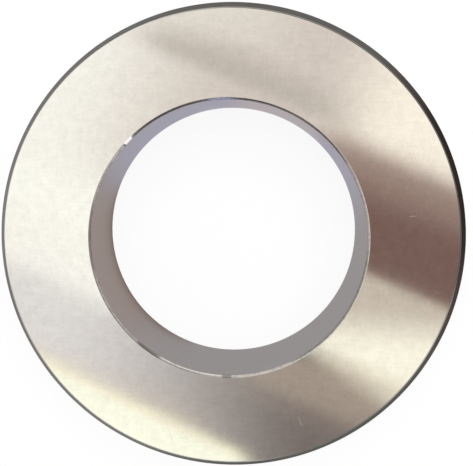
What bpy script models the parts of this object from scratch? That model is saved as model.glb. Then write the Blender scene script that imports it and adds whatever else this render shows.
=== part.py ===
"""Plain ring gauge: one hardened steel ring with flat faces, a true bore and turned chamfers.

The ring lies flat. Z is its axis and the origin is the centre of its lower face.
All sizes are in metres.
"""

from math import hypot, pi, radians

import bmesh
import bpy

NODE_NAME = "gauge_ring"

# Driving sizes
BORE_DIAMETER = 0.050
OUTSIDE_DIAMETER = 0.085
WIDTH = 0.020
RIM_CHAMFER_WIDTH = 0.00135
RIM_CHAMFER_DEPTH = 0.0020
RIM_EDGE_BREAK = 0.00015
BORE_LEAD = 0.0004

# Round surfaces
FACETS_AROUND = 240
SHARP_ANGLE = radians(20)

# Finish
STEEL_COLOUR = (0.62, 0.60, 0.56, 1.0)
STEEL_ROUGHNESS = 0.26
STEEL_METALLIC = 1.0


def clear_scene():
    """Remove every object that the file opened with."""
    for old in list(bpy.data.objects):
        bpy.data.objects.remove(old, do_unlink=True)


def break_corner(before, corner, after, size):
    """Two points in place of a sharp corner, each one size back from it along its own side."""
    points = []
    for neighbour in (before, after):
        run = neighbour[0] - corner[0]
        rise = neighbour[1] - corner[1]
        share = size / hypot(run, rise)
        points.append((corner[0] + run * share, corner[1] + rise * share))
    return points


def half_section():
    """One half of the cross-section above the middle of the width, as (radius, height) points.

    It starts in the bore and ends on the outside, and its heights are measured from mid-width.
    """
    bore_radius = BORE_DIAMETER / 2
    outside_radius = OUTSIDE_DIAMETER / 2
    face_height = WIDTH / 2

    lead_start = (bore_radius, face_height - BORE_LEAD)
    lead_mouth = (bore_radius + BORE_LEAD, face_height)
    face_edge = (outside_radius - RIM_CHAMFER_WIDTH, face_height)
    chamfer_foot = (outside_radius, face_height - RIM_CHAMFER_DEPTH)
    outside_middle = (outside_radius, 0.0)

    return [
        lead_start,
        lead_mouth,
        *break_corner(lead_mouth, face_edge, chamfer_foot, RIM_EDGE_BREAK),
        *break_corner(face_edge, chamfer_foot, outside_middle, RIM_EDGE_BREAK),
    ]


def full_section():
    """The closed cross-section: the upper half, then its mirror image, standing on z = 0."""
    middle = WIDTH / 2
    upper = [(radius, middle + height) for radius, height in half_section()]
    lower = [(radius, middle - height) for radius, height in reversed(half_section())]
    return upper + lower


def turn(section):
    """Turn a closed cross-section once round the Z axis, as on a lathe, into a closed mesh."""
    shape = bmesh.new()
    corners = [shape.verts.new((radius, 0.0, height)) for radius, height in section]
    outline = [shape.edges.new((corners[i - 1], corners[i])) for i in range(len(corners))]
    bmesh.ops.spin(
        shape,
        geom=corners + outline,
        cent=(0, 0, 0),
        axis=(0, 0, 1),
        angle=2 * pi,
        steps=FACETS_AROUND,
        use_merge=True,
    )
    bmesh.ops.recalc_face_normals(shape, faces=shape.faces)

    mesh = bpy.data.meshes.new(NODE_NAME)
    shape.to_mesh(mesh)
    shape.free()
    return mesh


def ground_steel():
    """Hardened gauge steel, ground and lapped to a bright satin."""
    material = bpy.data.materials.new("ground_steel")
    material.use_nodes = True
    shader = material.node_tree.nodes["Principled BSDF"]
    shader.inputs["Base Color"].default_value = STEEL_COLOUR
    shader.inputs["Roughness"].default_value = STEEL_ROUGHNESS
    shader.inputs["Metallic"].default_value = STEEL_METALLIC
    return material


def build_gauge_ring():
    """The whole gauge: it is turned from one blank, so it is one solid."""
    mesh = turn(full_section())
    mesh.materials.append(ground_steel())
    mesh.shade_smooth()
    mesh.set_sharp_from_angle(angle=SHARP_ANGLE)
    ring = bpy.data.objects.new(NODE_NAME, mesh)
    bpy.context.scene.collection.objects.link(ring)
    return ring


def main():
    clear_scene()
    build_gauge_ring()


main()
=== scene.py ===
"""Finished looks of a plain ring gauge: the turned steel ring, its studio and its camera.

The file is laid out as a Blender add-on and is run as a script. Lengths are in metres, and shader
patterns are worked out in millimetres.
"""

from collections import namedtuple
from math import cos, hypot, pi, radians, sin

import bmesh
import bpy
from bpy.props import FloatProperty, FloatVectorProperty, IntProperty, PointerProperty
from mathutils import Matrix, Vector


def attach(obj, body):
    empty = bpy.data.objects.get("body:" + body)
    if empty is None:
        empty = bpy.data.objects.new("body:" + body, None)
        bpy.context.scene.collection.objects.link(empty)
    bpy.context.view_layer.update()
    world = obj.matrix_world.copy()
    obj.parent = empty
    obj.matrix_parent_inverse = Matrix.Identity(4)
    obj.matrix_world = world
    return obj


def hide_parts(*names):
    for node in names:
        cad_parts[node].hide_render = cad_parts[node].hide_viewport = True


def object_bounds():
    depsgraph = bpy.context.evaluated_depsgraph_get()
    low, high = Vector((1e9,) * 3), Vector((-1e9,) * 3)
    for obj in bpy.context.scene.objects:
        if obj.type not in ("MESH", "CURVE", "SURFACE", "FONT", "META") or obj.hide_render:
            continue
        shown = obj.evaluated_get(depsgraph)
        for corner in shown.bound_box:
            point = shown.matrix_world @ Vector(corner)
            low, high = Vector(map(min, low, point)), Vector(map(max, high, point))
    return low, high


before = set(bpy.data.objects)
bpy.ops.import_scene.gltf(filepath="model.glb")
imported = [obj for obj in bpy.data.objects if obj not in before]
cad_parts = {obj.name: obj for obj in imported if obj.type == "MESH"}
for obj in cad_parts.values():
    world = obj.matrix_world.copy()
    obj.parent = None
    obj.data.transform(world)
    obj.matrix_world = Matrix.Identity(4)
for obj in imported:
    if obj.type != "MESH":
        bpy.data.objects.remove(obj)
CAD_LOWEST, CAD_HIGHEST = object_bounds()

bl_info = {
    "name": "Ring Gauge",
    "version": (1, 0, 0),
    "blender": (4, 5, 0),
    "location": "3D View > Sidebar > Ring Gauge",
    "description": "Turns a plain ring gauge in lapped steel and lays it in a soft studio",
    "category": "Object",
}

RING_NODE = "gauge_ring"
RING_BODY = "root"
MM = 0.001
MICRON = 0.000001

# Materials by their place in the ring's list
FACE, BORE, CHAMFER, OUTSIDE, ROUNDED_EDGE = range(5)

# Modelling: distance under which corners are merged, steps in a rounded corner, and the sharpest angle
# that is still shaded smooth
MERGE_DISTANCE = 1e-7
ROUNDING_STEPS = 3
SMOOTH_ANGLE = radians(40)

# How squarely a facet has to point up, in or out to belong to a face, the bore or the outside, and the
# slack on the chamfer's lean
SQUARE_ON = 0.999
LEAN_SLACK = 0.02

# Camera
CAMERA_PLACE = Vector((0.00704, 0.01307, 0.15370))
CAMERA_AIM = Vector((-0.00439, 0.00392, 0.0200))
PICTURE_UP = Vector((0.0, 1.0, 0.0))
SENSOR_WIDTH_MM = 36.0
LENS_MM = 56.75
LENS_SHIFT = (0.0714, -0.0331)
CLIP_RANGE = (0.005, 10.0)

# Floor, which lies a hair under the ring, and the soft lamp over it
FLOOR_SIZE = 4.0
FLOOR_GAP = 0.00002
LAMP_PLACE = Vector((0.05, 0.12, 0.45))
LAMP_SIZE = 0.5

# Light tent over the ring, and two cards on the floor: one in the bore and one round the ring
TENT_RADIUS = 0.9
TENT_HEIGHT = 0.5
TENT_SIDES = 96
CARD_HEIGHT = 0.00001
BORE_CARD_RADIUS = 0.02538
RING_CARD_RADIUS = 0.150

# Direction of the long soft bands in the tent's ceiling, as they show on the ring's face
BAND_SLOPE = radians(-23)

# Fine streaks that run along those bands: length, width and sideways wander in millimetres
STREAK_LENGTH = 40.0
STREAK_WIDTH = 2.2
STREAK_WANDER = 1.6
STREAK_CONTRAST = 0.10

# Panels of the tent's wall: direction and spread in degrees, and colour. Each shows in the bore's lead on
# the opposite side.
WALL_GREY = (0.43, 0.40, 0.385)
WALL_PANELS = (
    (264, 58, (0.09, 0.08, 0.08)),
    (234, 16, (0.17, 0.14, 0.13)),
    (198.5, 22, (0.61, 0.53, 0.52)),
    (152, 34, (0.34, 0.31, 0.29)),
    (36, 42, (0.60, 0.545, 0.525)),
    (80, 28, (1.02, 0.98, 0.94)),
    (110, 16, (0.76, 0.70, 0.66)),
    (356, 18, (0.29, 0.26, 0.25)),
    (316, 10, (0.74, 0.70, 0.66)),
    (328, 12, (0.53, 0.50, 0.47)),
)

# Small patch low on the wall, which shows as a bluish glint in the lead: direction and spread in
# degrees, lowest and highest point and soft edge in millimetres, and colour
PATCH_AIM = (269.5, 5.5)
PATCH_HEIGHTS = (65, 150)
PATCH_EDGE = 12
PATCH_COLOUR = (0.72, 0.86, 1.45)

# Panels of the tent's top, where ceiling meets wall, which show in the rim's rounding. Further from the
# ring they fade towards the grey by TOP_FADE, so that the face stays even when it is seen from the side.
TOP_GREY = (0.80, 0.79, 0.77)
TOP_PANELS = (
    (30, 76, (0.13, 0.115, 0.105)),
    (155, 60, (1.02, 1.01, 0.98)),
    (300, 26, (0.30, 0.28, 0.26)),
)
TOP_FADE = 0.4

# Radii, in millimetres of the face that mirrors them, over which the flags give way to the top's panels
# and over which these fade, and the shares of the tent's height over which the wall gives way to the top
FLAGS_END = (46.0, 54.0)
TOP_FADES = (76.0, 125.0)
WALL_TURNS = (0.55, 0.8)

# Panels of the card round the ring, which show in the rim's chamfer: direction and spread in degrees, and
# colour. The card starts and ends softly between two radii in millimetres.
LOW_GREY = (0.78, 0.77, 0.76)
LOW_PANELS = (
    (150, 50, (1.0, 1.0, 1.0)),
    (305, 64, (0.46, 0.45, 0.43)),
    (8, 46, (0.30, 0.22, 0.20)),
    (12, 26, (0.06, 0.02, 0.01)),
)
RING_CARD_START = (40.0, 48.0)
RING_CARD_END = (80.0, 140.0)

# Parts of the card in the bore, which the bore wall mirrors: direction and spread in degrees. The darker
# foot starts softly between two radii in millimetres.
CARD_ABOVE_AIM = (87, 93)
CARD_BRIGHT_AIM = (68, 26)
CARD_LEFT_AIM = (196, 42)
CARD_FOOT_AIM = (205, 52)
CARD_FOOT_START = (22.6, 25.2)

# Soft flags on the tent's ceiling, each over the ones before it, in millimetres of the face that mirrors
# them: turn from the bands' direction in degrees, reach along and across the bands, widths of the soft
# edges at the start, end, low and high side, colour and strength
Flag = namedtuple("Flag", "name turn along across soft colour strength")
FLAGS = (
    Flag("base_white", 0, (-90, 90), (-90, 90), (1, 1, 1, 1), (1.03, 1.028, 0.968), 1.0),
    Flag("left_ridge", 0, (-90, -15), (-9, -2), (1, 8, 6, 6), (1.08, 1.085, 1.012), 0.8),
    Flag("top_grey", 0, (-25, 90), (2, 90), (34, 1, 14, 1), (0.72, 0.65, 0.60), 1.0),
    Flag("top_light", 0, (-45, -6), (34, 90), (6, 14, 6, 1), (0.86, 0.82, 0.76), 0.7),
    Flag("top_streak", 0, (-28, 14), (26.4, 30.8), (12, 10, 2.5, 6), (0.54, 0.49, 0.445), 0.9),
    Flag("upper_glow", 0, (12, 90), (22, 90), (18, 1, 2, 1), (1.055, 0.985, 0.87), 1.0),
    Flag("lower_grey", 0, (-90, 90), (-90, -20), (1, 1, 1, 6), (0.80, 0.78, 0.77), 1.0),
    Flag("lower_shade", 23, (-9, 90), (-90, -14), (54, 1, 1, 4), (0.197, 0.166, 0.156), 1.0),
    Flag("lower_streak", 0, (12, 90), (-22, -15), (10, 1, 3, 2), (0.46, 0.378, 0.316), 0.75),
    Flag("lower_corner", 0, (8, 90), (-25.5, -21.5), (12, 1, 4, 3), (0.50, 0.42, 0.34), 0.16),
    Flag("wedge_light", -10, (18, 90), (-8.2, 12), (6, 1, 6, 1), (1.08, 1.05, 0.89), 1.0),
    Flag("wedge_edge", 0, (24, 90), (-14.8, -11.6), (10, 1, 2.5, 3), (0.70, 0.59, 0.46), 0.52),
    Flag("wedge_grey", 19, (15, 90), (-14, 5), (1, 1, 9, 1), (0.63, 0.56, 0.48), 1.0),
    Flag("brown", 0, (8, 90), (4.4, 25.0), (10, 1, 1.5, 5.2), (0.37, 0.27, 0.235), 1.0),
    Flag("deep_brown", 0, (8, 90), (4.4, 18.5), (10, 1, 1.5, 10), (0.198, 0.121, 0.105), 1.0),
    Flag("crescent_glow", 0, (-90, 8), (-90, -33.0), (1, 14, 1, 6), (0.77, 0.665, 0.54), 0.45),
    Flag("lower_blush", 0, (-8, 12), (-90, -29.0), (10, 10, 1, 4), (0.55, 0.40, 0.34), 0.10),
    Flag("crescent_warm", -1.5, (-90, 20), (-90, -34.8), (1, 6, 1, 2.5), (1.06, 0.99, 0.74), 1.0),
    Flag("crescent", -1.5, (-90, 21), (-90, -36.2), (1, 6, 1, 2), (1.10, 1.12, 0.95), 1.0),
)

# Arcs of painted shade and painted reflection, where the rounded edges are darker or brighter than
# elsewhere: direction and spread in degrees, and tone. The edges at the bore and at the rim part between
# two radii in millimetres.
PAINTED_BORE_SHADE_ARCS = ((235, 7, 0.35), (270, 2.5, 0.35))
PAINTED_RIM_REFLECTION_ARCS = ((28, 84, 0.38), (152, 52, 1.05), (206, 18, 0.68), (296, 18, 0.50), (331, 20, 0.72))
BORE_SIDE_END = (28.0, 32.0)

# Nick in the bore's upper edge, a bump with a painted glint on it: direction and spread in degrees, the
# shares of the ring's height over which it starts, how steeply it lies back, and the painted glint's
# colour
NICK_AIM = (135.1, 3.0)
NICK_START = (0.5, 0.8)
NICK_STEEPNESS = 1.63
NICK_GLINT_COLOUR = (0.97, 0.97, 0.98)

# Waves in a millimetre along each axis: the lapping's grain, which runs two ways, and the lines that
# turning and grinding leave round the ring
GRAIN_ALONG = (0.35, 2.2, 1.0)
GRAIN_ACROSS = (2.2, 0.35, 1.0)
BORE_LINES = (0.05, 0.05, 6.0)
CHAMFER_LINES = (0.05, 0.05, 5.0)
OUTSIDE_LINES = (0.04, 0.04, 9.0)

# Hairlines: the width of their soft edge in the noise they are cut from, how far they darken the face and
# to what share of its tone, and how much rougher than the face they and the single marks are
HAIRLINE_EDGE = 0.06
HAIRLINE_COVER = 0.20
HAIRLINE_TONE = 0.80
HAIRLINE_DULLING = 0.04
SCRATCH_DULLING = 0.16

# Single marks on the upper face: both ends and the width, in millimetres
Scratch = namedtuple("Scratch", "start end width")
SCRATCHES = (
    Scratch((32.2, 4.25), (33.3, 4.36), 0.08),
    Scratch((13.1, -32.5), (13.35, -33.1), 0.08),
    Scratch((13.4, -33.35), (13.65, -33.75), 0.10),
    Scratch((-3.0, 37.3), (-3.1, 36.6), 0.10),
)


class Wire:
    """One output socket, so that shader maths is written as Python sums."""

    def __init__(self, board, socket):
        self.board = board
        self.socket = socket

    def sum_of(self, operation, first, second):
        inputs = {0: first, 1: second}
        return self.board.add("ShaderNodeMath", {"operation": operation}, inputs)["Value"]

    def __add__(self, other):
        return self.sum_of("ADD", self, other)

    def __radd__(self, other):
        return self.sum_of("ADD", other, self)

    def __sub__(self, other):
        return self.sum_of("SUBTRACT", self, other)

    def __rsub__(self, other):
        return self.sum_of("SUBTRACT", other, self)

    def __mul__(self, other):
        return self.sum_of("MULTIPLY", self, other)

    def __rmul__(self, other):
        return self.sum_of("MULTIPLY", other, self)

    def __truediv__(self, other):
        return self.sum_of("DIVIDE", self, other)

    def __rtruediv__(self, other):
        return self.sum_of("DIVIDE", other, self)

    def __pow__(self, other):
        return self.sum_of("POWER", self, other)

    def __rpow__(self, other):
        return self.sum_of("POWER", other, self)


class Board:
    """A node tree that is wired afresh. Every one of its nodes comes from add."""

    def __init__(self, tree):
        self.tree = tree
        tree.nodes.clear()

    def add(self, kind, settings=None, inputs=None):
        """Add a node, set its settings, then give its sockets their values or links."""
        node = self.tree.nodes.new(kind)
        for name, value in (settings or {}).items():
            setattr(node, name, value)
        for key, value in (inputs or {}).items():
            socket = self.input_of(node, key)
            if isinstance(value, Wire):
                self.tree.links.new(value.socket, socket)
            else:
                socket.default_value = value
        return {output.identifier: Wire(self, output) for output in node.outputs}

    def input_of(self, node, key):
        """A node's input by its number, its identifier or its name."""
        if isinstance(key, int):
            return node.inputs[key]
        for socket in node.inputs:
            if key == socket.identifier:
                return socket
        return node.inputs[key]

    def mix(self, share, first, second, label=""):
        """Colour that goes from first to second as share goes from 0 to 1."""
        settings = {"data_type": "RGBA", "label": label}
        inputs = {"Factor_Float": share, "A_Color": first, "B_Color": second}
        return self.add("ShaderNodeMix", settings, inputs)["Result_Color"]

    def shades(self, share, tone, dark, light):
        """A tone that goes from its dark to its light multiple as share goes from 0 to 1."""
        return self.mix(share, tinted(tone, dark), tinted(tone, light))

    def step(self, value, low, high):
        """Soft step from 0 at low to 1 at high."""
        settings = {"interpolation_type": "SMOOTHSTEP"}
        inputs = {"Value": value, "From Min": low, "From Max": high}
        return self.add("ShaderNodeMapRange", settings, inputs)["Result"]

    def fall(self, value, low, high):
        """Soft step from 1 at low to 0 at high."""
        return self.step(0 - value, -high, -low)

    def scaled(self, vector, factors):
        """Vector with each part multiplied by its own factor."""
        settings = {"operation": "MULTIPLY"}
        return self.add("ShaderNodeVectorMath", settings, {0: vector, 1: factors})["Vector"]

    def dimmed(self, colour, factor):
        """Colour multiplied by one factor."""
        settings = {"operation": "SCALE"}
        return self.add("ShaderNodeVectorMath", settings, {0: colour, "Scale": factor})["Vector"]

    def joined(self, x, y, z):
        """Vector from its three parts."""
        return self.add("ShaderNodeCombineXYZ", None, {0: x, 1: y, 2: z})["Vector"]

    def millimetres(self):
        """Object coordinates in millimetres."""
        place = self.add("ShaderNodeTexCoord")["Object"]
        return self.scaled(place, (1 / MM, 1 / MM, 1 / MM))

    def parts(self, vector):
        """The x, y and z of a vector."""
        split = self.add("ShaderNodeSeparateXYZ", None, {"Vector": vector})
        return split["X"], split["Y"], split["Z"]

    def noise(self, vector, scale=1.0, detail=2.0, roughness=0.5):
        """Soft noise around one half; scale is in waves for each unit of the vector."""
        inputs = {"Vector": vector, "Scale": scale, "Detail": detail, "Roughness": roughness}
        return self.add("ShaderNodeTexNoise", None, inputs)["Fac"]

    def bump(self, height, depth):
        """Normal bent by a height that goes from 0 to 1 over a depth in metres."""
        inputs = {"Height": height, "Distance": depth, "Strength": 1.0}
        return self.add("ShaderNodeBump", None, inputs)["Normal"]

    def steel(self, colour, roughness, normal=None, edge_tint=(1, 1, 1, 1)):
        """Metal surface as the material's output."""
        inputs = {
            "Base Color": colour,
            "Metallic": 1.0,
            "Roughness": roughness,
            "Specular Tint": edge_tint,
        }
        if normal is not None:
            inputs["Normal"] = normal
        self.show(self.add("ShaderNodeBsdfPrincipled", None, inputs)["BSDF"])

    def glow(self, colour):
        """Light of that colour, as bright as it is written."""
        return self.add("ShaderNodeEmission", None, {"Color": colour, "Strength": 1.0})["Emission"]

    def blend(self, share, first, second):
        """Surface that goes from first to second as share goes from 0 to 1."""
        return self.add("ShaderNodeMixShader", None, {0: share, 1: first, 2: second})["Shader"]

    def show(self, surface):
        """Make a surface the material's output."""
        self.add("ShaderNodeOutputMaterial", None, {"Surface": surface})

    def seen(self):
        """1 for the camera's own rays and for reflections, and 0 for light that falls on things."""
        path = self.add("ShaderNodeLightPath")
        seen = path["Is Camera Ray"] + path["Is Glossy Ray"] + path["Is Transmission Ray"]
        return self.step(seen, 0.0, 1.0)


def new_board(name):
    """A new material and its empty board."""
    material = bpy.data.materials.new(name)
    material.use_nodes = True
    return material, Board(material.node_tree)


def tinted(colour, factor):
    """A colour multiplied by a factor, with full opacity."""
    return (colour[0] * factor, colour[1] * factor, colour[2] * factor, 1.0)


def swinging(value, noise, reach):
    """A value that follows a noise, by half of reach either way."""
    return value + (noise - 0.5) * reach


def distance(x, y):
    """How far a point lies from the origin, which is on the ring's axis."""
    return (x * x + y * y) ** 0.5


def side_share(board, x, y, aim, spread):
    """1 on the side of the axis that aim points to, in degrees, and 0 beyond spread either way."""
    facing = (x * cos(radians(aim)) + y * sin(radians(aim))) / distance(x, y)
    return board.step(facing, cos(radians(spread)), cos(radians(spread / 2)))


def around(board, x, y, grey, panels):
    """Grey all round, with panels of other colours in their own directions."""
    colour = (*grey, 1.0)
    for aim, spread, tint in panels:
        colour = board.mix(side_share(board, x, y, aim, spread), colour, (*tint, 1.0))
    return colour


def hairlines(board, place, turn, length, width, share):
    """Fine straight scratches in one direction: 1 on a scratch and 0 between."""
    settings = {"rotation_type": "Z_AXIS"}
    turned = board.add("ShaderNodeVectorRotate", settings, {"Vector": place, "Angle": turn})["Vector"]
    stretched = board.scaled(turned, (1 / length, 1 / width, 0.0))
    return board.step(board.noise(stretched, detail=0.0), share, share + HAIRLINE_EDGE)


def scratch_share(board, x, y, scratch):
    """1 on a single straight mark and 0 beside it."""
    left, low = scratch.start
    run, rise = scratch.end[0] - left, scratch.end[1] - low
    length = hypot(run, rise)
    run, rise = run / length, rise / length
    inputs = {"Value": (x - left) * run + (y - low) * rise, "Min": 0.0, "Max": length}
    along = board.add("ShaderNodeClamp", None, inputs)["Result"]
    gap = distance(x - left - along * run, y - low - along * rise)
    return board.fall(gap, scratch.width / 2, scratch.width)


def lapped_face(finish):
    """Flat lapped steel: nearly a mirror, with soft clouds in its polish and fine marks both ways."""
    material, board = new_board("lapped_face")
    place = board.millimetres()
    x, y, z = board.parts(place)
    clouds = board.noise(place, scale=0.16)
    mottle = board.noise(place, scale=0.55, detail=4.0, roughness=0.72)
    grain_along = board.noise(board.scaled(place, GRAIN_ALONG), roughness=0.6)
    grain_across = board.noise(board.scaled(place, GRAIN_ACROSS), roughness=0.6)
    grain = mottle * 0.6 + grain_along * 0.2 + grain_across * 0.2
    long_lines = hairlines(board, place, turn=radians(71), length=9.0, width=0.12, share=0.70)
    short_lines = hairlines(board, place, turn=radians(8), length=4.0, width=0.10, share=0.72)
    marks = long_lines + short_lines
    scratches = 0.0
    for scratch in SCRATCHES:
        scratches = scratch_share(board, x, y, scratch) + scratches
    scratches = scratches * board.step(z, 0.0, CAD_HIGHEST.z / MM)
    tone = finish.face_tone
    colour = board.shades(grain, tone, dark=1 - finish.face_mottle, light=1 + finish.face_mottle)
    colour = board.mix(marks * HAIRLINE_COVER, colour, tinted(tone, HAIRLINE_TONE))
    roughness = swinging(finish.face_roughness, clouds, reach=0.03)
    roughness = roughness + marks * HAIRLINE_DULLING + scratches * SCRATCH_DULLING
    board.steel(colour, roughness, board.bump(mottle, 0.3 * MICRON))
    return material


def lapped_bore(finish):
    """Bore wall: fine marks run round it, and it is greyer than the faces."""
    material, board = new_board("lapped_bore")
    place = board.millimetres()
    rings = board.noise(board.scaled(place, BORE_LINES), detail=3.0)
    clouds = board.noise(place, scale=0.12)
    colour = board.shades(rings, finish.bore_tone, dark=0.88, light=1.12)
    roughness = swinging(finish.bore_roughness, clouds, reach=0.08)
    tint = (*finish.bore_edge_tint, 1.0)
    board.steel(colour, roughness, board.bump(rings, 2 * MICRON), tint)
    return material


def shaded_dark_chamfer(finish):
    """Turned chamfer, dark in tone: painted shade for the dark surroundings that it mirrors."""
    material, board = new_board("shaded_dark_chamfer")
    place = board.millimetres()
    rings = board.noise(board.scaled(place, CHAMFER_LINES), detail=3.0)
    blotches = board.noise(place, scale=0.5, detail=3.0, roughness=0.6)
    colour = board.shades(blotches, finish.chamfer_tone, dark=0.75, light=1.25)
    roughness = swinging(finish.chamfer_roughness, rings, reach=0.12)
    board.steel(colour, roughness, board.bump(rings, 4 * MICRON))
    return material


def ground_outside(finish):
    """Outside of the ring: ground round, with fine lines along the grinding."""
    material, board = new_board("ground_outside")
    place = board.millimetres()
    rings = board.noise(board.scaled(place, OUTSIDE_LINES), detail=4.0, roughness=0.6)
    clouds = board.noise(place, scale=0.15)
    colour = board.shades(rings, finish.outside_tone, dark=0.85, light=1.12)
    roughness = swinging(finish.outside_roughness, clouds, reach=0.08)
    board.steel(colour, roughness, board.bump(rings, 3 * MICRON))
    return material


def rubbed_edge_painted_sheen(finish):
    """Rounded edges, rubbed by handling, with arcs of painted shade and painted reflection, and one nick
    at the bore that carries a painted glint.
    """
    material, board = new_board("rubbed_edge_painted_sheen")
    place = board.millimetres()
    x, y, z = board.parts(place)
    rubs = board.noise(place, scale=1.1, detail=3.0, roughness=0.6)
    tone = finish.face_tone
    colour = board.shades(board.fall(rubs, 0.4, 0.7), tone, dark=0.60, light=0.80)
    at_bore = board.fall(distance(x, y), *BORE_SIDE_END)
    # Arcs of painted shade and painted reflection, laid into the edges' colour by direction round the
    # axis
    for arcs, edge in ((PAINTED_BORE_SHADE_ARCS, at_bore), (PAINTED_RIM_REFLECTION_ARCS, 1 - at_bore)):
        for aim, spread, factor in arcs:
            share = side_share(board, x, y, aim, spread) * edge
            colour = board.mix(share, colour, tinted(tone, factor))
    top = CAD_HIGHEST.z / MM
    start, end = (share * top for share in NICK_START)
    nick = side_share(board, x, y, *NICK_AIM) * at_bore * board.step(z, start, end)
    # Painted glint: the nick's near-white colour, over the real bump that bends its normal
    colour = board.mix(nick, colour, (*NICK_GLINT_COLOUR, 1.0))
    normal = board.bump(nick * (top - z), NICK_STEEPNESS * MM)
    board.steel(colour, swinging(finish.edge_roughness, rubs, reach=0.1), normal)
    return material


def edit(piece):
    """Put one piece alone in edit mode with nothing of it selected."""
    bpy.ops.object.select_all(action="DESELECT")
    bpy.context.view_layer.objects.active = piece
    piece.select_set(True)
    bpy.ops.object.mode_set(mode="EDIT")
    bpy.ops.mesh.select_all(action="DESELECT")


def cut_corner(first, second, middle):
    """Cut off what lies beyond the line from first to second, seen from middle; (x, z) points."""
    run = second[0] - first[0]
    rise = second[1] - first[1]
    normal = Vector((rise, 0.0, -run)).normalized()
    if normal.x * (middle[0] - first[0]) + normal.z * (middle[1] - first[1]) > 0:
        normal.negate()
    bpy.ops.mesh.select_all(action="SELECT")
    bpy.ops.mesh.bisect(
        plane_co=(first[0], 0.0, first[1]),
        plane_no=normal,
        clear_outer=True,
        threshold=MERGE_DISTANCE,
    )


def select_corners(piece, wanted):
    """Select the vertices of the section that wanted(radius, height) is true for."""
    bpy.ops.mesh.select_all(action="DESELECT")
    bpy.ops.mesh.select_mode(type="VERT")
    shape = bmesh.from_edit_mesh(piece.data)
    for vertex in shape.verts:
        vertex.select = wanted(vertex.co.x, vertex.co.z)
    shape.select_flush_mode()
    bmesh.update_edit_mesh(piece.data)


def turn_ring(sizes):
    """Cut the section from a rectangle, round its corners and turn it once round the axis."""
    inner = sizes.bore_diameter / 2
    outer = sizes.outside_diameter / 2
    width = sizes.width
    middle = ((inner + outer) / 2, width / 2)

    bpy.ops.object.select_all(action="DESELECT")
    bpy.ops.mesh.primitive_plane_add(
        size=1, location=(middle[0], 0, middle[1]), rotation=(pi / 2, 0, 0)
    )
    piece = bpy.context.object
    piece.name = "lapped_ring"
    piece.data.name = "lapped_ring"
    piece.scale = (outer - inner, width, 1.0)
    bpy.ops.object.transform_apply(location=True, rotation=True, scale=True)

    edit(piece)
    for face_height, inward in ((0.0, 1), (width, -1)):
        lead_end = face_height + inward * sizes.bore_lead
        chamfer_end = face_height + inward * sizes.rim_chamfer_depth
        cut_corner((inner, lead_end), (inner + sizes.bore_lead, face_height), middle)
        cut_corner((outer - sizes.rim_chamfer_width, face_height), (outer, chamfer_end), middle)

    select_corners(piece, lambda radius, height: radius > middle[0])
    bpy.ops.mesh.bevel(offset=sizes.rim_round, segments=ROUNDING_STEPS, affect="VERTICES")
    select_corners(piece, lambda radius, height: radius < middle[0])
    bpy.ops.mesh.bevel(offset=sizes.bore_round, segments=ROUNDING_STEPS, affect="VERTICES")

    bpy.ops.mesh.select_all(action="SELECT")
    bpy.ops.mesh.delete(type="ONLY_FACE")
    bpy.ops.mesh.select_all(action="SELECT")
    bpy.ops.mesh.spin(
        steps=sizes.facets_around, angle=2 * pi, center=(0, 0, 0), axis=(0, 0, 1)
    )
    bpy.ops.mesh.select_all(action="SELECT")
    bpy.ops.mesh.remove_doubles(threshold=MERGE_DISTANCE)
    bpy.ops.mesh.normals_make_consistent(inside=False)
    bpy.ops.object.mode_set(mode="OBJECT")

    bpy.ops.object.shade_smooth_by_angle(angle=SMOOTH_ANGLE)
    bpy.ops.object.modifier_add(type="WEIGHTED_NORMAL")
    bpy.ops.object.modifier_apply(modifier=piece.modifiers[-1].name)
    return piece


def zone(centre, normal, sizes):
    """Which finish a facet of the ring has, from its place and the way it faces."""
    radius = hypot(centre.x, centre.y)
    outward = (normal.x * centre.x + normal.y * centre.y) / radius
    chamfer_slope = hypot(sizes.rim_chamfer_depth, sizes.rim_chamfer_width)
    chamfer_lean = sizes.rim_chamfer_depth / chamfer_slope
    if abs(normal.z) > SQUARE_ON:
        return FACE
    if outward < -SQUARE_ON:
        return BORE
    if outward > SQUARE_ON:
        return OUTSIDE
    if outward > chamfer_lean - LEAN_SLACK:
        return CHAMFER
    return ROUNDED_EDGE


def floor_material(stage):
    """Pale floor: white to the camera and in reflections, with the ring's soft shadow."""
    material, board = new_board("floor")
    pale = board.add("ShaderNodeBsdfDiffuse", None, {"Color": (*stage.floor_colour, 1.0)})["BSDF"]
    white = board.glow((1.0, 1.0, 1.0, 1.0))
    board.show(board.blend(board.seen() * stage.floor_glow, pale, white))
    return material


def flag_share(board, x, y, flag):
    """How much of a flag covers a point: 1 inside its soft edges and 0 outside."""
    slope = BAND_SLOPE + radians(flag.turn)
    along = x * cos(slope) + y * sin(slope)
    across = y * cos(slope) - x * sin(slope)
    start, end, low, high = flag.soft
    share = board.step(along, flag.along[0] - start / 2, flag.along[0] + start / 2)
    share = share * board.fall(along, flag.along[1] - end / 2, flag.along[1] + end / 2)
    share = share * board.step(across, flag.across[0] - low / 2, flag.across[0] + low / 2)
    return share * board.fall(across, flag.across[1] - high / 2, flag.across[1] + high / 2)


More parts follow.
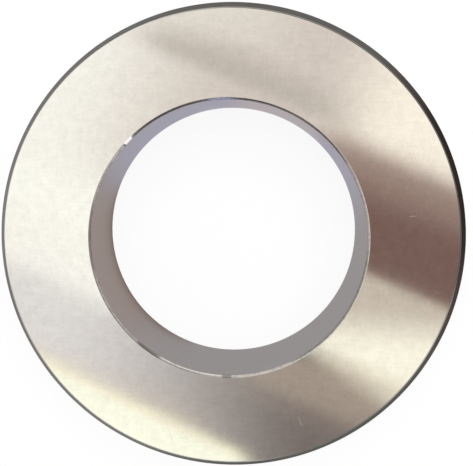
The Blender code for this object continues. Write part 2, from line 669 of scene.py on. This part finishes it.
def tent_ceiling():
    """Ceiling of the light tent: flags where the face mirrors it, and panels round them."""
    material, board = new_board("tent_ceiling")
    x, y, _ = board.parts(board.millimetres())
    face_height = CAD_HIGHEST.z
    reach = 1 + (TENT_HEIGHT - face_height) / (CAMERA_PLACE.z - face_height)
    centre = CAMERA_PLACE / MM
    x = (x - centre.x) / reach + centre.x
    y = (y - centre.y) / reach + centre.y

    along = (x * cos(BAND_SLOPE) + y * sin(BAND_SLOPE)) / STREAK_LENGTH
    across = (y * cos(BAND_SLOPE) - x * sin(BAND_SLOPE)) / STREAK_WIDTH
    streaks = board.noise(board.joined(along, across, 0.0), detail=3.0, roughness=0.6) - 0.5
    x = x - streaks * (STREAK_WANDER * sin(BAND_SLOPE))
    y = y + streaks * (STREAK_WANDER * cos(BAND_SLOPE))

    colour = (1.0, 1.0, 1.0, 1.0)
    for flag in FLAGS:
        share = flag_share(board, x, y, flag) * flag.strength
        colour = board.mix(share, colour, (*flag.colour, 1.0), flag.name)
    colour = board.dimmed(colour, 1 + streaks * STREAK_CONTRAST)
    radius = distance(x, y)
    top = around(board, x, y, TOP_GREY, TOP_PANELS)
    top = board.mix(board.step(radius, *TOP_FADES) * TOP_FADE, top, (*TOP_GREY, 1.0))
    board.show(board.glow(board.mix(board.step(radius, *FLAGS_END), colour, top)))
    return material


def tent_wall():
    """Wall of the light tent: its own panels and the small patch below, and the top's panels above."""
    material, board = new_board("tent_wall")
    x, y, z = board.parts(board.millimetres())
    low = around(board, x, y, WALL_GREY, WALL_PANELS)
    bottom, head = PATCH_HEIGHTS
    patch = board.step(z, bottom - PATCH_EDGE, bottom) * board.fall(z, head, head + PATCH_EDGE)
    low = board.mix(patch * side_share(board, x, y, *PATCH_AIM), low, (*PATCH_COLOUR, 1.0))
    high = board.mix(TOP_FADE, around(board, x, y, TOP_GREY, TOP_PANELS), (*TOP_GREY, 1.0))
    start, end = (share * TENT_HEIGHT / MM for share in WALL_TURNS)
    board.show(board.glow(board.mix(board.step(z, start, end), low, high)))
    return material


def only_mirrored(piece):
    """A stage piece that shows in reflections and nowhere else."""
    piece.visible_camera = False
    piece.visible_diffuse = False
    piece.visible_transmission = False
    piece.visible_volume_scatter = False
    piece.visible_shadow = False


def raise_tent():
    """A round tent over the ring, open below."""
    bpy.ops.object.select_all(action="DESELECT")
    bpy.ops.mesh.primitive_cylinder_add(
        vertices=TENT_SIDES,
        radius=TENT_RADIUS,
        depth=TENT_HEIGHT,
        location=(0, 0, TENT_HEIGHT / 2),
    )
    tent = bpy.context.object
    tent.name = "light_tent"
    bpy.ops.object.transform_apply(location=True, rotation=True, scale=True)
    edit(tent)
    bpy.ops.mesh.select_mode(type="FACE")
    shape = bmesh.from_edit_mesh(tent.data)
    for side in shape.faces:
        side.select = side.normal.z < -0.5
    bmesh.update_edit_mesh(tent.data)
    bpy.ops.mesh.delete(type="FACE")
    bpy.ops.object.mode_set(mode="OBJECT")
    tent.data.materials.append(tent_ceiling())
    tent.data.materials.append(tent_wall())
    for side in tent.data.polygons:
        side.material_index = 0 if side.normal.z > 0.5 else 1
    only_mirrored(tent)


def lay_card(name, material, radius):
    """A round card just over the floor, seen only in reflections."""
    bpy.ops.object.select_all(action="DESELECT")
    bpy.ops.mesh.primitive_circle_add(
        vertices=TENT_SIDES, radius=radius, fill_type="NGON", location=(0, 0, CARD_HEIGHT)
    )
    card = bpy.context.object
    card.name = name
    bpy.ops.object.transform_apply(location=True, rotation=True, scale=True)
    card.data.materials.append(material)
    only_mirrored(card)


def ring_card():
    """Card on the floor round the ring, which the rim's chamfer mirrors. It is clear at its edges."""
    material, board = new_board("ring_card")
    x, y, _ = board.parts(board.millimetres())
    radius = distance(x, y)
    share = board.step(radius, *RING_CARD_START) * board.fall(radius, *RING_CARD_END)
    card = board.glow(around(board, x, y, LOW_GREY, LOW_PANELS))
    clear = board.add("ShaderNodeBsdfTransparent")["BSDF"]
    board.show(board.blend(share, clear, card))
    lay_card("ring_card", material, RING_CARD_RADIUS)


def bore_card(stage):
    """Tinted card on the floor inside the ring, which the bore wall mirrors nearly edge on."""
    material, board = new_board("bore_card")
    x, y, _ = board.parts(board.millimetres())
    panels = (
        (*CARD_ABOVE_AIM, stage.card_above),
        (*CARD_BRIGHT_AIM, stage.card_bright),
        (*CARD_LEFT_AIM, stage.card_left),
    )
    colour = around(board, x, y, stage.card_below, panels)
    foot = board.step(distance(x, y), *CARD_FOOT_START) * side_share(board, x, y, *CARD_FOOT_AIM)
    board.show(board.glow(board.mix(foot, colour, (*stage.card_foot, 1.0))))
    lay_card("bore_card", material, BORE_CARD_RADIUS)


def lay_floor(stage):
    """Floor just under the ring."""
    bpy.ops.object.select_all(action="DESELECT")
    height = CAD_LOWEST.z - FLOOR_GAP
    bpy.ops.mesh.primitive_plane_add(size=FLOOR_SIZE, location=(0, 0, height))
    floor = bpy.context.object
    floor.name = "floor"
    floor.data.materials.append(floor_material(stage))


def light_world(stage):
    """World: white to the camera and in reflections, and a soft fill light elsewhere."""
    world = bpy.data.worlds.new("studio")
    world.use_nodes = True
    bpy.context.scene.world = world
    board = Board(world.node_tree)
    fill = stage.fill_light
    colour = board.mix(board.seen(), (fill, fill, fill, 1.0), (1.0, 1.0, 1.0, 1.0))
    back = board.add("ShaderNodeBackground", None, {"Color": colour, "Strength": 1.0})["Background"]
    board.add("ShaderNodeOutputWorld", None, {"Surface": back})


def hang_lamp(stage):
    """One large soft lamp over the ring, for the floor and its shadow."""
    bpy.ops.object.light_add(type="AREA", location=LAMP_PLACE)
    lamp = bpy.context.object
    lamp.name = "soft_lamp"
    lamp.data.shape = "DISK"
    lamp.data.size = LAMP_SIZE
    lamp.data.energy = stage.lamp_power
    lamp.rotation_euler = (-LAMP_PLACE).to_track_quat("-Z", "Y").to_euler()
    lamp.visible_glossy = False


def set_camera():
    """Camera over the ring, a little behind and to the right of its axis."""
    back = (CAMERA_PLACE - CAMERA_AIM).normalized()
    right = PICTURE_UP.cross(back).normalized()
    turn = Matrix((right, back.cross(right), back)).transposed().to_4x4()
    data = bpy.data.cameras.new("camera")
    data.sensor_width = SENSOR_WIDTH_MM
    data.lens = LENS_MM
    data.shift_x, data.shift_y = LENS_SHIFT
    data.clip_start, data.clip_end = CLIP_RANGE
    camera = bpy.data.objects.new("camera", data)
    camera.matrix_world = Matrix.Translation(CAMERA_PLACE) @ turn
    bpy.context.scene.collection.objects.link(camera)
    bpy.context.scene.camera = camera
    bpy.context.scene.view_settings.view_transform = "Standard"


class RingGaugeSizes(bpy.types.PropertyGroup):
    """Sizes of the ring."""

    bore_diameter: FloatProperty(
        name="Bore Diameter",
        description="True diameter of the bore",
        default=0.050,
        unit="LENGTH",
    )
    outside_diameter: FloatProperty(
        name="Outside Diameter",
        description="Diameter over the outside",
        default=CAD_HIGHEST.x - CAD_LOWEST.x,
        unit="LENGTH",
    )
    width: FloatProperty(
        name="Width",
        description="Distance between the two flat faces",
        default=CAD_HIGHEST.z - CAD_LOWEST.z,
        unit="LENGTH",
    )
    rim_chamfer_width: FloatProperty(
        name="Rim Chamfer Width",
        description="How far the chamfer goes in from the outside",
        default=0.00135,
        unit="LENGTH",
    )
    rim_chamfer_depth: FloatProperty(
        name="Rim Chamfer Depth",
        description="How far the chamfer goes down from the face",
        default=0.0020,
        unit="LENGTH",
    )
    bore_lead: FloatProperty(
        name="Bore Lead",
        description="Size of the chamfer at the bore's mouth",
        default=0.0004,
        unit="LENGTH",
    )
    rim_round: FloatProperty(
        name="Rim Rounding",
        description="Length that an edge is rounded by",
        default=0.00015,
        unit="LENGTH",
    )
    bore_round: FloatProperty(
        name="Bore Rounding",
        description="Length that a bore edge is rounded by",
        default=0.00006,
        unit="LENGTH",
    )
    facets_around: IntProperty(
        name="Facets Around",
        description="Number of facets round the ring",
        default=720,
        min=48,
    )


class RingGaugeFinish(bpy.types.PropertyGroup):
    """Colours and gloss of the steel."""

    face_tone: FloatVectorProperty(
        name="Face Tone",
        description="Colour of the lapped faces",
        subtype="COLOR",
        default=(0.90, 0.885, 0.85),
    )
    face_mottle: FloatProperty(
        name="Face Mottle",
        description="How far the faces' tone varies",
        default=0.24,
        subtype="FACTOR",
    )
    face_roughness: FloatProperty(
        name="Face Roughness",
        description="Roughness of the lapped faces",
        default=0.065,
        subtype="FACTOR",
    )
    bore_tone: FloatVectorProperty(
        name="Bore Tone",
        description="Colour of the bore wall",
        subtype="COLOR",
        default=(0.62, 0.61, 0.60),
    )
    bore_edge_tint: FloatVectorProperty(
        name="Bore Edge Tint",
        description="Colour of the bore wall where it is seen nearly edge on",
        subtype="COLOR",
        default=(0.90, 0.90, 0.90),
    )
    bore_roughness: FloatProperty(
        name="Bore Roughness",
        description="Roughness of the bore wall",
        default=0.32,
        subtype="FACTOR",
    )
    # The chamfers' dark tone is painted shade for the dark surroundings that they mirror
    chamfer_tone: FloatVectorProperty(
        name="Chamfer Tone",
        description="Colour of the rim chamfers",
        subtype="COLOR",
        default=(0.105, 0.097, 0.088),
    )
    chamfer_roughness: FloatProperty(
        name="Chamfer Roughness",
        description="Roughness of the rim chamfers",
        default=0.40,
        subtype="FACTOR",
    )
    edge_roughness: FloatProperty(
        name="Edge Roughness",
        description="Roughness of the rubbed edges",
        default=0.14,
        subtype="FACTOR",
    )
    outside_tone: FloatVectorProperty(
        name="Outside Tone",
        description="Colour of the ground outside",
        subtype="COLOR",
        default=(0.55, 0.54, 0.52),
    )
    outside_roughness: FloatProperty(
        name="Outside Roughness",
        description="Roughness of the ground outside",
        default=0.42,
        subtype="FACTOR",
    )


class RingGaugeStage(bpy.types.PropertyGroup):
    """Floor and light."""

    floor_colour: FloatVectorProperty(
        name="Floor Colour",
        description="Colour of the floor",
        subtype="COLOR",
        default=(0.90, 0.90, 0.90),
    )
    floor_glow: FloatProperty(
        name="Floor Glow",
        description="Share of the floor that is plain white",
        default=0.88,
        subtype="FACTOR",
    )
    card_above: FloatVectorProperty(
        name="Bore Card Above",
        description="Tint that the upper part of the bore wall mirrors",
        subtype="COLOR",
        default=(0.565, 0.55, 0.665),
    )
    card_bright: FloatVectorProperty(
        name="Bore Card Bright",
        description="Tint that the upper right of the bore wall mirrors",
        subtype="COLOR",
        default=(0.68, 0.62, 0.65),
    )
    card_below: FloatVectorProperty(
        name="Bore Card Below",
        description="Tint that the lower part of the bore wall mirrors",
        subtype="COLOR",
        default=(0.475, 0.45, 0.455),
    )
    card_left: FloatVectorProperty(
        name="Bore Card Left",
        description="Tint that the left part of the bore wall mirrors",
        subtype="COLOR",
        default=(0.485, 0.41, 0.38),
    )
    card_foot: FloatVectorProperty(
        name="Bore Card Foot",
        description="Tint that the foot of the bore wall mirrors on the left",
        subtype="COLOR",
        default=(0.30, 0.225, 0.19),
    )
    fill_light: FloatProperty(
        name="Fill Light",
        description="Brightness of the light from all round",
        default=0.60,
    )
    lamp_power: FloatProperty(
        name="Lamp Power",
        description="Power of the lamp over the ring",
        default=1.8,
        unit="POWER",
    )


class RINGGAUGE_OT_turn_ring(bpy.types.Operator):
    """Model the ring and give each of its surfaces its own finish"""

    bl_idname = "ring_gauge.turn_ring"
    bl_label = "Turn Ring"

    def execute(self, context):
        sizes = context.scene.ring_gauge_sizes
        finish = context.scene.ring_gauge_finish
        piece = turn_ring(sizes)
        for make in (lapped_face, lapped_bore, shaded_dark_chamfer, ground_outside, rubbed_edge_painted_sheen):
            piece.data.materials.append(make(finish))
        for facet in piece.data.polygons:
            facet.material_index = zone(facet.center, facet.normal, sizes)
        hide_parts(RING_NODE)
        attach(piece, RING_BODY)
        return {"FINISHED"}


class RINGGAUGE_OT_set_stage(bpy.types.Operator):
    """Lay the floor, raise the light tent, hang the lamp and set the camera"""

    bl_idname = "ring_gauge.set_stage"
    bl_label = "Set Stage"

    def execute(self, context):
        stage = context.scene.ring_gauge_stage
        lay_floor(stage)
        raise_tent()
        ring_card()
        bore_card(stage)
        light_world(stage)
        hang_lamp(stage)
        set_camera()
        return {"FINISHED"}


class RINGGAUGE_PT_panel(bpy.types.Panel):
    """Ring gauge tools"""

    bl_idname = "RINGGAUGE_PT_panel"
    bl_label = "Ring Gauge"
    bl_space_type = "VIEW_3D"
    bl_region_type = "UI"
    bl_category = "Ring Gauge"

    def draw(self, context):
        for group in (context.scene.ring_gauge_sizes, context.scene.ring_gauge_finish):
            box = self.layout.box()
            for name in group.__annotations__:
                box.prop(group, name)
        self.layout.operator(RINGGAUGE_OT_turn_ring.bl_idname)
        box = self.layout.box()
        for name in context.scene.ring_gauge_stage.__annotations__:
            box.prop(context.scene.ring_gauge_stage, name)
        self.layout.operator(RINGGAUGE_OT_set_stage.bl_idname)


GROUPS = {
    "ring_gauge_sizes": RingGaugeSizes,
    "ring_gauge_finish": RingGaugeFinish,
    "ring_gauge_stage": RingGaugeStage,
}
TOOLS = (RINGGAUGE_OT_turn_ring, RINGGAUGE_OT_set_stage, RINGGAUGE_PT_panel)


def register():
    """Register every class and hang the settings on the scene."""
    for kind in (*GROUPS.values(), *TOOLS):
        bpy.utils.register_class(kind)
    for name, group in GROUPS.items():
        setattr(bpy.types.Scene, name, PointerProperty(type=group))


def unregister():
    """Take the settings and the classes away again."""
    for name in GROUPS:
        delattr(bpy.types.Scene, name)
    for kind in reversed((*GROUPS.values(), *TOOLS)):
        bpy.utils.unregister_class(kind)


def main():
    """Build the ring and its stage."""
    register()
    bpy.ops.ring_gauge.turn_ring()
    bpy.ops.ring_gauge.set_stage()


if __name__ == "__main__":
    main()
